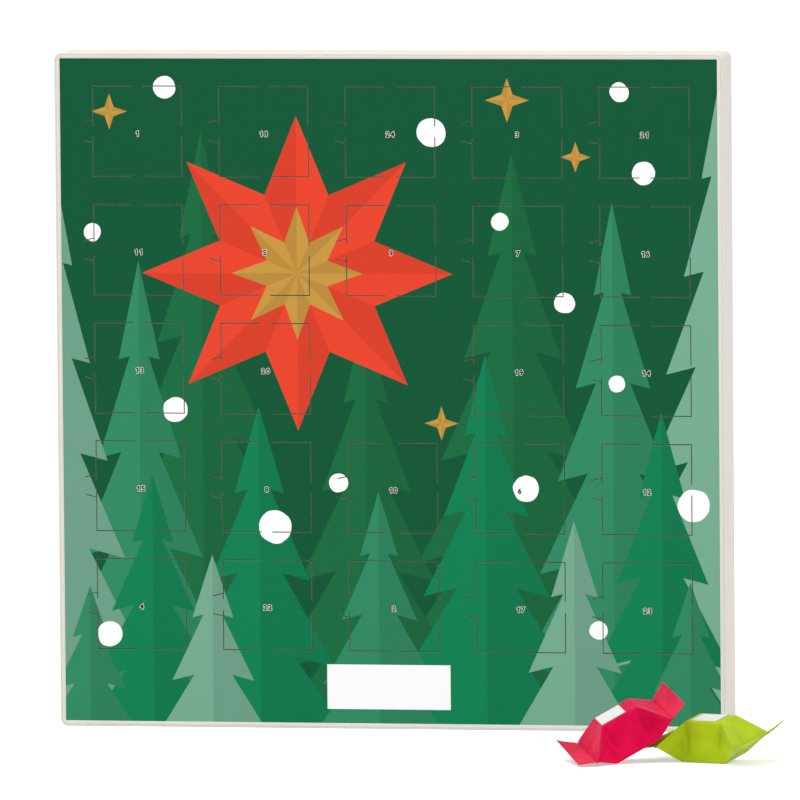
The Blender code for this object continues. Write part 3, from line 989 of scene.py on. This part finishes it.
def eased(value):
    """0 to 1 with soft ends."""
    value = np.clip(value, 0.0, 1.0)
    return value * value * (3.0 - 2.0 * value)


def zones(p):
    """The distance from the middle, and how much of the shoulder and the tail it goes past."""
    far = np.abs(p)
    return far, np.clip(far - BLOCK_END, 0.0, 1.0), np.clip(far - SEAL, 0.0, 1.0)


def film_form(look, form, p, q, r):
    """Points of the stretched film. p runs along the length, with the block from -1 to 1, the
    seals at 2 and the tails' edges at 3, q runs across and r from the base to the top."""
    side = np.sign(p)
    far, shoulder, tail = zones(p)
    lift = (r + 1.0) / 2.0
    half_length = (BLOCK_LENGTH + (BLOCK_TOP_LENGTH - BLOCK_LENGTH) * lift) / 2
    half_depth = (BLOCK_DEPTH + (BLOCK_TOP_DEPTH - BLOCK_DEPTH) * lift) / 2
    x = half_length * np.minimum(far, BLOCK_END) + (SEAL_PLACE - half_length) * shoulder
    x = side * (x + form["tail_length"] * tail)
    half_width = half_depth + (TAIL_WIDTH / 2 - half_depth) * shoulder
    half_height = BLOCK_HEIGHT / 2 + (look.film_thickness / 2 - BLOCK_HEIGHT / 2) * shoulder
    centre = BLOCK_HEIGHT / 2 + (SEAL_HEIGHT - BLOCK_HEIGHT / 2) * shoulder
    y, z = np.abs(q) * half_width, np.abs(r) * half_height
    radius = look.fold_radius * (1.0 - shoulder) ** RADIUS_POWER
    inner_y, inner_z = half_width - radius, half_height - radius
    over_y, over_z = y - inner_y, z - inner_z
    corner = (over_y > 0.0) & (over_z > 0.0) & (radius > LEAST_RADIUS)
    away = np.hypot(over_y, over_z) + LEAST_AWAY
    y = np.where(corner, inner_y + radius * over_y / away, y)
    z = np.where(corner, inner_z + radius * over_z / away, z)
    sides = np.abs(q) > AT_SIDE
    fold = np.sin(np.pi * shoulder ** GUSSET_POWER) * (1.0 - np.abs(r)) ** GUSSET_TAPER
    y = y - np.where(sides, look.gusset_depth * fold * form["gusset"], 0.0)
    sag = np.sin(np.pi * shoulder) * (1.0 - q * q) * SAG
    z = z - np.where(sides, 0.0, sag)
    y, z = np.sign(q) * y, centre + np.sign(r) * z
    rise = np.where(side > 0.0, form["right_rise"], form["left_rise"])
    twist = np.where(side > 0.0, form["right_twist"], form["left_twist"])
    z = z + rise * tail ** RISE_POWER + twist * q * tail ** TWIST_POWER
    wave = np.sin(q * WAVE_TURN + form["phase"] + side) * tail ** WAVE_POWER
    return x, y, z + form["wave"] * wave


def crease_ridge(x, z, start, low, end, high):
    """How near points are to a crease: 1 on its line, and less aside and towards its ends."""
    run = Vector((end - start, high - low))
    along = ((x - start) * run.x + (z - low) * run.y) / run.length_squared
    inside = np.clip(along, 0.0, 1.0)
    gap = np.hypot(x - start - inside * run.x, z - low - inside * run.y)
    fade = np.sin(np.pi * np.clip(inside, CREASE_START, 1.0))
    return np.exp(-((gap / CREASE_WIDTH) ** 2)) * fade


def film_points(look, form, p, q, r):
    """The film's points with soft folds, wrinkles, crimped ribs and a saw-cut edge."""
    far, shoulder, tail = zones(p)
    reach = np.where(far < REACH_CHANGE, BLOCK_REACH, TAIL_REACH)
    points = np.zeros((3, len(p)))
    for step, share in enumerate(SHARES, -(len(SHARES) // 2)):
        shifted = p + step * reach
        points += np.array(film_form(look, form, shifted, q, r)) * share / sum(SHARES)
    x, y, z = points
    sheet = np.abs(q) < AT_SIDE
    turn = q * form["folds"] * np.pi + form["phase"] * r * (1.0 - shoulder)
    fan = np.sin(turn) * eased((shoulder - FAN_START) / FAN_GROWTH)
    fan = fan * (1.0 - eased(tail / FAN_FADE)) * (1.0 - q ** 4)
    z = z + np.where(sheet, FAN_HEIGHT * fan, 0.0)
    turn_x, turn_y, turn_z = DENT_TURNS
    dent = np.sin(x * turn_x + form["phase"])
    dent = dent * np.sin(z * turn_z + y * turn_y + form["phase"] * 2)
    flank = np.where(sheet, 0.0, np.sign(q) * (1.0 - r ** 4) * (1.0 - tail))
    y = y - flank * DENT_DEPTH * (1.0 + dent)
    for *ends, depth, facing in CREASES:
        at_side = (np.sign(q) == facing) & (far < CREASE_END)
        y = y - np.where(at_side, flank * depth * crease_ridge(x, z, *ends), 0.0)
    ribs = np.sin(2.0 * np.pi * y / look.rib_pitch) * eased(tail / RIB_GROWTH)
    z = z + look.rib_height * ribs * (1.0 - eased((np.abs(q) - RIB_END) / RIB_FADE))
    seam = np.exp(-(((y - SEAM_PLACE) / SEAM_WIDTH) ** 2)) * eased(tail / SEAM_GROWTH)
    dip = np.exp(-(((far - DIP_PLACE) / DIP_WIDTH) ** 2))
    z = z + SEAM_HEIGHT * seam - look.seal_dip * dip
    teeth = np.abs((y / look.tooth_pitch) % 1.0 - 0.5) * 2.0
    x = x - np.sign(p) * look.tooth_depth * teeth * tail ** TOOTH_POWER
    return np.stack((x, y, z), axis=1)


def closer_at_ends(values, count):
    """Moves coordinates on even steps from -1 to 1 to steps that are closer at the ends."""
    even = np.linspace(-1.0, 1.0, count + 1)
    closer = (1.0 - GRID_BIAS) * even + GRID_BIAS * np.sin(even * np.pi / 2)
    return np.interp(values, even, closer)


def film_grid(lengthwise, across, upright):
    """A closed box of even quads: -3 to 3 along, -1 to 1 across and upright."""
    shape = bmesh.new()
    bmesh.ops.create_cube(shape, size=2.0)
    bmesh.ops.scale(shape, vec=(TAIL_END, 1.0, 1.0), verts=shape.verts)
    for axis, count in ((0, lengthwise), (1, across), (2, upright)):
        edges = [
            edge for edge in shape.edges
            if abs(edge.verts[0].co[axis] - edge.verts[1].co[axis]) > TINY
        ]
        bmesh.ops.subdivide_edges(shape, edges=edges, cuts=count - 1, use_grid_fill=True)
    return shape


def add_plate(shape, look, form, inset, rise, index):
    """A thin closed plate on the film's top, as large as the label's border less an inset."""
    first, faces = len(shape.verts), len(shape.faces)
    sizes, middles = [], []
    for middle, size, block in (
        (form["label_shift"], look.label_length, BLOCK_TOP_LENGTH),
        (LABEL_MIDDLE, look.label_depth, BLOCK_TOP_DEPTH),
    ):
        start, end = middle - size / 2 + inset, middle + size / 2 - inset
        sizes.append((end - start) / 2 / (block / 2))
        middles.append((start + end) / 2 / (block / 2))
    place = Matrix.Translation((*middles, 0.0)) @ Matrix.Diagonal((*sizes, 1.0, 1.0))
    columns, rows = LABEL_GRID
    bmesh.ops.create_grid(shape, x_segments=columns, y_segments=rows, size=1.0, matrix=place)
    shape.verts.ensure_lookup_table()
    shape.faces.ensure_lookup_table()
    verts = shape.verts[first:]
    plan = np.array([vert.co for vert in verts])
    points = film_points(look, form, plan[:, 0], plan[:, 1], np.ones(len(plan)))
    for vert, (x, y, z) in zip(verts, points):
        vert.co = (x, y, z - LABEL_SINK)
    push(shape, shape.faces[faces:], (0.0, 0.0, LABEL_SINK + rise))
    shape.faces.ensure_lookup_table()
    for face in shape.faces[faces:]:
        face.material_index = index


def chocolate_form(number):
    """What differs from one wrapped chocolate to the next."""
    draw = random.Random(number)
    form = {name: draw.uniform(*limits) for name, limits in DRAWN.items()}
    low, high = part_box("chocolate_03")
    form.update(
        tail_length=(high.x - low.x) / 2 - SEAL_PLACE, left_rise=TAIL_RISE, right_rise=TAIL_RISE
    )
    form.update(FRONT_FORMS.get(number, {}))
    return form


def cage_corners(form):
    """The corners of the chocolate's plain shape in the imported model, before its turn."""
    edge, wide = SEAL_PLACE + form["tail_length"], TAIL_WIDTH / 2
    corners = []
    for side, rise in ((-1, form["left_rise"]), (1, form["right_rise"])):
        for x, z in ((side * edge, SEAL_HEIGHT + rise), (side * SEAL_PLACE, SEAL_HEIGHT)):
            corners += [(x, y, z + up) for y in (-wide, wide) for up in (-HALF_SEAL, HALF_SEAL)]
        for y in (-1, 1):
            corners.append((side * BLOCK_LENGTH / 2, y * BLOCK_DEPTH / 2, 0.0))
            corners.append((side * BLOCK_TOP_LENGTH / 2, y * BLOCK_TOP_DEPTH / 2, BLOCK_HEIGHT))
    return [Vector(corner) for corner in corners]


def chocolate_place(number, form):
    """The turn and place of a chocolate, so that it fills its node's box."""
    turn = Matrix.Identity(4)
    for degrees, axis in TURNS.get(number, PACKED_TURNS):
        turn = turn @ Matrix.Rotation(math.radians(degrees), 4, axis)
    corners = [turn @ corner for corner in cage_corners(form)]
    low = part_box(f"chocolate_{number:02d}")[0]
    offset = [low[axis] - min(corner[axis] for corner in corners) for axis in range(3)]
    return Matrix.Translation(offset) @ turn


def keep_inside(shape, low, high):
    """Shrinks a shape by axis where it reaches out of a box."""
    spots = np.array([vert.co for vert in shape.verts])
    least, most = spots.min(axis=0), spots.max(axis=0)
    new_least, new_most = np.maximum(least, low), np.minimum(most, high)
    spots = new_least + (spots - least) * (new_most - new_least) / (most - least)
    for vert, spot in zip(shape.verts, spots):
        vert.co = spot


def make_chocolate(look, number, finishes):
    """A wrapped chocolate with its blank label, in place."""
    form = chocolate_form(number)
    loose = number in FRONT_FORMS
    faces_per_rib = look.ribs_apart if loose else PACKED_FACES_PER_RIB
    across = round(TAIL_WIDTH / look.rib_pitch * faces_per_rib)
    lengthwise, upright = LOOSE_GRID if loose else PACKED_GRID
    shape = film_grid(lengthwise, across, upright)
    for face in shape.faces:
        face.material_index = FILM
        middle = face.calc_center_median()
        # The rising half of each rib on a tail gets the paler film: a painted highlight on the
        # rib crests
        rib = math.sin(math.pi * middle.y * TAIL_WIDTH / look.rib_pitch)
        if abs(middle.x) > RIB_HIGHLIGHT_START and abs(middle.z) > AT_SIDE and rib > 0.0:
            face.material_index = RIB_HIGHLIGHT
    plan = np.array([vert.co for vert in shape.verts])
    height = closer_at_ends(plan[:, 2], upright)
    points = film_points(look, form, plan[:, 0], plan[:, 1], height)
    for vert, point in zip(shape.verts, points):
        vert.co = point
    add_plate(shape, look, form, inset=0.0, rise=BORDER_RISE, index=GOLD)
    add_plate(shape, look, form, inset=look.label_border, rise=LABEL_RISE, index=LABEL)
    bmesh.ops.recalc_face_normals(shape, faces=shape.faces)
    bmesh.ops.transform(shape, matrix=chocolate_place(number, form), verts=shape.verts)
    node = f"chocolate_{number:02d}"
    keep_inside(shape, *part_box(node))
    kind = (number - 1) % FILM_KINDS + 1
    names = (f"film_{kind}", "label_white", "label_gold", f"crest_{kind}")
    make_piece(
        f"wrapped_{number:02d}", shape, [finishes[name] for name in names],
        BODIES.get(number, "calendar"), node, SHARP_FILM_ANGLE,
    )


def chocolate_finishes(look):
    """The films and their painted rib highlights, the label and its border, made once."""
    found = {}
    for kind in range(1, FILM_KINDS + 1):
        film = tuple(getattr(look, f"film_{kind}"))
        # The film, and a paler copy of it that paints a highlight on the rib crests
        for name, colour in (
            (f"film_{kind}", film), (f"crest_{kind}", paler(film, share=0.05)),
        ):
            found[name] = bpy.data.materials.get(name) or film_material(name, colour)
    for name, colour, values in (
        ("label_white", look.label, {"roughness": 0.35}),
        ("label_gold", look.gold, {"roughness": 0.4, "metallic": 0.4}),
    ):
        found[name] = bpy.data.materials.get(name) or smooth_material(
            name, tuple(colour), **values
        )
    return found


# Stage


FLOOR_HALF = 12.0
FLOOR_DROP = 0.00005  # keeps the floor clear of the pieces that stand on it
FLOOR_TONES = (0.86, 0.86, 0.86), (0.89, 0.89, 0.89)
FLOOR_GLOW = 0.42
LAMP_AIM = (0.05, 0.0, 0.12)
KEY_PLACE, KEY_SIZE = (-0.6, -1.1, 2.7), 1.5
FILL_PLACE, FILL_SIZE = (2.2, -0.8, 0.9), 1.2
SENSOR_WIDTH = 36.0  # in millimetres
VIEW_END = 100.0


def seen_rays(tree):
    """1 for the rays that the background is seen by: camera, glossy and transmission."""
    path = tree.nodes.new("ShaderNodeLightPath")
    total = path.outputs["Is Camera Ray"]
    for name in ("Is Glossy Ray", "Is Transmission Ray"):
        join = tree.nodes.new("ShaderNodeMath")
        join.operation = "MAXIMUM"
        tree.links.new(total, join.inputs[0])
        tree.links.new(path.outputs[name], join.inputs[1])
        total = join.outputs[0]
    return total


def make_floor():
    """A pale floor that keeps the shadows and is white to the camera."""
    shape = bmesh.new()
    bmesh.ops.create_grid(shape, x_segments=1, y_segments=1, size=FLOOR_HALF)
    bmesh.ops.translate(shape, verts=shape.verts, vec=(0.0, 0.0, -FLOOR_DROP))
    mesh = to_mesh(shape, "floor")
    nodes = Nodes("floor_paper")
    tree = nodes.tree
    mottle = nodes.noise(lumps=3.0, detail=2.0)
    paper = nodes.blend(nodes.spread(mottle, 0.0, 1.0), *FLOOR_TONES)
    nodes.finish(paper, roughness=0.9)
    glow = tree.nodes.new("ShaderNodeEmission")
    nodes.feed(glow.inputs["Strength"], nodes.maths("MULTIPLY", seen_rays(tree), FLOOR_GLOW))
    join = tree.nodes.new("ShaderNodeAddShader")
    tree.links.new(nodes.shader.outputs[0], join.inputs[0])
    tree.links.new(glow.outputs[0], join.inputs[1])
    tree.links.new(join.outputs[0], tree.nodes["Material Output"].inputs["Surface"])
    mesh.materials.append(nodes.material)
    floor = add_object("floor", mesh)


def make_world(look):
    """Even light all round, white to the camera."""
    world = bpy.data.worlds.new("studio")
    world.use_nodes = True
    tree = world.node_tree
    background = tree.nodes["Background"]
    background.inputs["Color"].default_value = (1.0, 1.0, 1.0, 1.0)
    strength = tree.nodes.new("ShaderNodeMapRange")
    tree.links.new(seen_rays(tree), strength.inputs["Value"])
    strength.inputs["To Min"].default_value = look.ambient
    strength.inputs["To Max"].default_value = 1.0
    tree.links.new(strength.outputs[0], background.inputs["Strength"])
    bpy.context.scene.world = world


def add_lamp(name, place, size, energy):
    """A large soft lamp that faces the calendar."""
    lamp = bpy.data.lights.new(name, "AREA")
    lamp.shape = "RECTANGLE"
    lamp.size = lamp.size_y = size
    lamp.energy = energy
    made = add_object(name, lamp)
    made.location = place
    facing = Vector(LAMP_AIM) - Vector(place)
    made.rotation_euler = facing.to_track_quat("-Z", "Y").to_euler()


def add_camera(look):
    """The camera at the photograph's angle."""
    away = Vector((
        math.sin(look.yaw) * math.cos(look.rise), -math.cos(look.yaw) * math.cos(look.rise),
        math.sin(look.rise),
    ))
    level = away.to_track_quat("Z", "Y").to_matrix().to_4x4()
    turn = level @ Matrix.Rotation(look.roll, 4, "Z")
    middle = (tray_low + tray_high) / 2
    aim = turn @ Vector((look.aim_right, look.aim_up, 0.0))
    camera = bpy.data.cameras.new("camera")
    camera.lens = look.focal_length
    camera.sensor_width = SENSOR_WIDTH
    camera.clip_end = VIEW_END
    made = add_object("camera", camera)
    made.matrix_world = Matrix.Translation(middle + aim + away * look.distance) @ turn
    bpy.context.scene.camera = made


def make_stage(look):
    """Floor, world, lamps and camera."""
    make_floor()
    make_world(look)
    add_lamp("key", KEY_PLACE, KEY_SIZE, look.key_power)
    add_lamp("fill", FILL_PLACE, FILL_SIZE, look.fill_power)
    add_camera(look)
    bpy.context.scene.view_settings.view_transform = "Standard"


# Operators


class CALENDAR_OT_tray(bpy.types.Operator):
    """Models the moulded tray"""

    bl_idname = "calendar.tray"
    bl_label = "Tray"

    def execute(self, context):
        make_tray(context.scene.calendar_tray)
        return {"FINISHED"}


class CALENDAR_OT_card(bpy.types.Operator):
    """Models the printed card with its door openings"""

    bl_idname = "calendar.card"
    bl_label = "Front card"

    def execute(self, context):
        look = context.scene.calendar_card
        make_card(look, card_finishes(look))
        return {"FINISHED"}


class CALENDAR_OT_doors(bpy.types.Operator):
    """Models the numbered doors"""

    bl_idname = "calendar.doors"
    bl_label = "Doors"

    def execute(self, context):
        look = context.scene.calendar_card
        make_doors(look, card_finishes(look))
        return {"FINISHED"}


class CALENDAR_OT_partition(bpy.types.Operator):
    """Gives the partition strips their board"""

    bl_idname = "calendar.partition"
    bl_label = "Partition"

    def execute(self, context):
        finish_partition(context.scene.calendar_partition)
        return {"FINISHED"}


class CALENDAR_OT_packed_chocolates(bpy.types.Operator):
    """Models the wrapped chocolates behind the doors"""

    bl_idname = "calendar.packed_chocolates"
    bl_label = "Packed chocolates"

    def execute(self, context):
        look = context.scene.calendar_chocolate
        finishes = chocolate_finishes(look)
        for number in NUMBERS:
            if number not in FRONT_FORMS:
                make_chocolate(look, number, finishes)
        return {"FINISHED"}


class CALENDAR_OT_loose_chocolates(bpy.types.Operator):
    """Models the two wrapped chocolates in front"""

    bl_idname = "calendar.loose_chocolates"
    bl_label = "Loose chocolates"

    def execute(self, context):
        look = context.scene.calendar_chocolate
        finishes = chocolate_finishes(look)
        for number in FRONT_FORMS:
            make_chocolate(look, number, finishes)
        return {"FINISHED"}


class CALENDAR_OT_stage(bpy.types.Operator):
    """Sets up the floor, the light and the camera"""

    bl_idname = "calendar.stage"
    bl_label = "Stage"

    def execute(self, context):
        make_stage(context.scene.calendar_stage)
        return {"FINISHED"}


OPERATORS = (
    CALENDAR_OT_tray,
    CALENDAR_OT_card,
    CALENDAR_OT_doors,
    CALENDAR_OT_partition,
    CALENDAR_OT_packed_chocolates,
    CALENDAR_OT_loose_chocolates,
    CALENDAR_OT_stage,
)
LOOKS = {
    "calendar_tray": TrayLook,
    "calendar_card": CardLook,
    "calendar_partition": PartitionLook,
    "calendar_chocolate": ChocolateLook,
    "calendar_stage": StageLook,
}


class CALENDAR_PT_panel(bpy.types.Panel):
    """Lists the calendar's pieces and their sizes"""

    bl_idname = "CALENDAR_PT_panel"
    bl_label = "Advent calendar"
    bl_space_type = "VIEW_3D"
    bl_region_type = "UI"
    bl_category = "Calendar"

    def draw(self, context):
        for operator in OPERATORS:
            self.layout.operator(operator.bl_idname)
        for name, look in LOOKS.items():
            box = self.layout.box()
            for field in look.__annotations__:
                box.prop(getattr(context.scene, name), field)


def register():
    """Adds the looks, the operators and the panel to Blender."""
    for name, look in LOOKS.items():
        bpy.utils.register_class(look)
        setattr(bpy.types.Scene, name, PointerProperty(type=look))
    for kind in (*OPERATORS, CALENDAR_PT_panel):
        bpy.utils.register_class(kind)


def unregister():
    """Takes them out again."""
    for kind in reversed((*OPERATORS, CALENDAR_PT_panel)):
        bpy.utils.unregister_class(kind)
    for name, look in LOOKS.items():
        delattr(bpy.types.Scene, name)
        bpy.utils.unregister_class(look)


def main():
    """Builds every piece and the stage."""
    register()
    bpy.ops.calendar.tray()
    bpy.ops.calendar.card()
    bpy.ops.calendar.doors()
    bpy.ops.calendar.partition()
    bpy.ops.calendar.packed_chocolates()
    bpy.ops.calendar.loose_chocolates()
    bpy.ops.calendar.stage()


if __name__ == "__main__":
    main()
